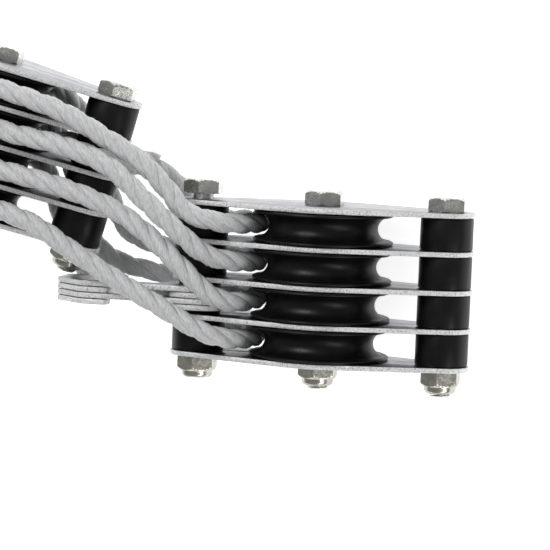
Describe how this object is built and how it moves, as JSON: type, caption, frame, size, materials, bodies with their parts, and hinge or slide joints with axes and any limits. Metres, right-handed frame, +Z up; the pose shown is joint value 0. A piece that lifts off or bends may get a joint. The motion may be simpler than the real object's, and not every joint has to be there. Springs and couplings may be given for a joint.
{
  "type": "gambrel hoist kit",
  "caption": "Game hoist stored flat: two four-sheave pulley blocks with twin hooks, reeved with rope, a gambrel bar hooked in one block, and the spare rope coiled and tied.",
  "frame": {"origin": "on the floor, under the middle of the kit's box without its rope", "axes": "+Z up from the floor the kit lies on; +Y along the upper block's bolts, towards their heads; -X from the upper block towards the lower block and the gambrel"},
  "size_m": [0.4066, 0.5542, 0.0675],
  "materials": {
    "zinc_plate": "zinc-plated sheet with bright sheared edges",
    "hook_steel": "zinc-plated plate, sheared edges",
    "sleeve_steel": "turned steel",
    "bolt_steel": "warm zinc plating, forged heads",
    "nut_steel": "zinc plating with a slight yellow cast",
    "gambrel_steel": "plated bar",
    "black_nylon": "black moulded nylon, satin",
    "rope": "white three-strand twisted polypropylene",
    "tie_strap": "black woven strap"
  },
  "bodies": {
    "upper_block": {"upper_cheek_1": "zinc_plate", "upper_cheek_2": "zinc_plate", "upper_cheek_3": "zinc_plate", "upper_cheek_4": "zinc_plate", "upper_cheek_5": "zinc_plate", "upper_axle_bolt": "bolt_steel", "upper_hook_bolt": "bolt_steel", "upper_tail_bolt": "bolt_steel", "upper_lock_nuts": "nut_steel", "upper_axle_sleeves": "sleeve_steel", "upper_tail_spacers": "black_nylon", "upper_hook_spacers": "black_nylon", "upper_hook_washers": "black_nylon"},
    "lower_block": {"lower_cheek_1": "zinc_plate", "lower_cheek_2": "zinc_plate", "lower_cheek_3": "zinc_plate", "lower_cheek_4": "zinc_plate", "lower_cheek_5": "zinc_plate", "lower_axle_bolt": "bolt_steel", "lower_hook_bolt": "bolt_steel", "lower_tail_bolt": "bolt_steel", "lower_lock_nuts": "nut_steel", "lower_axle_sleeves": "sleeve_steel", "lower_tail_spacers": "black_nylon", "lower_hook_spacers": "black_nylon", "lower_hook_washers": "black_nylon", "rope_run": "rope", "rope_lead": "rope", "rope_eye": "rope", "rope_coil": "rope", "coil_tie": "tie_strap", "end_knot": "rope"},
    "upper_sheave_1": {"upper_sheave_1": "black_nylon"},
    "upper_sheave_2": {"upper_sheave_2": "black_nylon"},
    "upper_sheave_3": {"upper_sheave_3": "black_nylon"},
    "upper_sheave_4": {"upper_sheave_4": "black_nylon"},
    "upper_hook_a": {"upper_hook_a_outer": "hook_steel", "upper_hook_a_inner": "hook_steel"},
    "upper_hook_b": {"upper_hook_b_outer": "hook_steel", "upper_hook_b_inner": "hook_steel"},
    "lower_sheave_1": {"lower_sheave_1": "black_nylon"},
    "lower_sheave_2": {"lower_sheave_2": "black_nylon"},
    "lower_sheave_3": {"lower_sheave_3": "black_nylon"},
    "lower_sheave_4": {"lower_sheave_4": "black_nylon"},
    "lower_hook_a": {"lower_hook_a_outer": "hook_steel", "lower_hook_a_inner": "hook_steel"},
    "lower_hook_b": {"lower_hook_b_outer": "hook_steel", "lower_hook_b_inner": "hook_steel"},
    "gambrel": {"gambrel_bar": "gambrel_steel", "gambrel_ring": "gambrel_steel"}
  },
  "joints": [
    {"name": "block_travel", "type": "slide", "parent": "upper_block", "child": "lower_block", "axis": [-1, 0, 0], "range_m": [0, 0.02], "deforming": ["rope_run"]},
    {"name": "upper_sheave_1_spin", "type": "hinge", "parent": "upper_block", "child": "upper_sheave_1", "pos_m": [0.14834, -0.0819, 0.0253], "axis": [0, 1, 0], "continuous": true},
    {"name": "upper_sheave_2_spin", "type": "hinge", "parent": "upper_block", "child": "upper_sheave_2", "pos_m": [0.14834, -0.0819, 0.0253], "axis": [0, 1, 0], "continuous": true},
    {"name": "upper_sheave_3_spin", "type": "hinge", "parent": "upper_block", "child": "upper_sheave_3", "pos_m": [0.14834, -0.0819, 0.0253], "axis": [0, 1, 0], "continuous": true},
    {"name": "upper_sheave_4_spin", "type": "hinge", "parent": "upper_block", "child": "upper_sheave_4", "pos_m": [0.14834, -0.0819, 0.0253], "axis": [0, 1, 0], "continuous": true},
    {"name": "upper_hook_a_swing", "type": "hinge", "parent": "upper_block", "child": "upper_hook_a", "pos_m": [0.10334, -0.0888, 0.0253], "axis": [0, 1, 0], "range_deg": [-3, 6]},
    {"name": "upper_hook_b_swing", "type": "hinge", "parent": "upper_block", "child": "upper_hook_b", "pos_m": [0.10334, -0.0888, 0.0253], "axis": [0, 1, 0], "range_deg": [-3, 6]},
    {"name": "lower_sheave_1_spin", "type": "hinge", "parent": "lower_block", "child": "lower_sheave_1", "pos_m": [0.01934, -0.0339, 0.0284], "axis": [0.2588, 0.9659, 0], "continuous": true},
    {"name": "lower_sheave_2_spin", "type": "hinge", "parent": "lower_block", "child": "lower_sheave_2", "pos_m": [0.01934, -0.0339, 0.0284], "axis": [0.2588, 0.9659, 0], "continuous": true},
    {"name": "lower_sheave_3_spin", "type": "hinge", "parent": "lower_block", "child": "lower_sheave_3", "pos_m": [0.01934, -0.0339, 0.0284], "axis": [0.2588, 0.9659, 0], "continuous": true},
    {"name": "lower_sheave_4_spin", "type": "hinge", "parent": "lower_block", "child": "lower_sheave_4", "pos_m": [0.01934, -0.0339, 0.0284], "axis": [0.2588, 0.9659, 0], "continuous": true},
    {"name": "lower_hook_a_swing", "type": "hinge", "parent": "lower_block", "child": "lower_hook_a", "pos_m": [-0.02591, -0.02892, 0.0284], "axis": [0.2588, 0.9659, 0], "range_deg": [-8, 8]},
    {"name": "lower_hook_b_swing", "type": "hinge", "parent": "lower_block", "child": "lower_hook_b", "pos_m": [-0.02591, -0.02892, 0.0284], "axis": [0.2588, 0.9659, 0], "range_deg": [-8, 8]},
    {"name": "gambrel_swing", "type": "hinge", "parent": "lower_block", "child": "gambrel", "pos_m": [-0.05489, -0.02115, 0.0284], "axis": [0.2588, 0.9659, 0], "range_deg": [0, 60]}
  ]
}
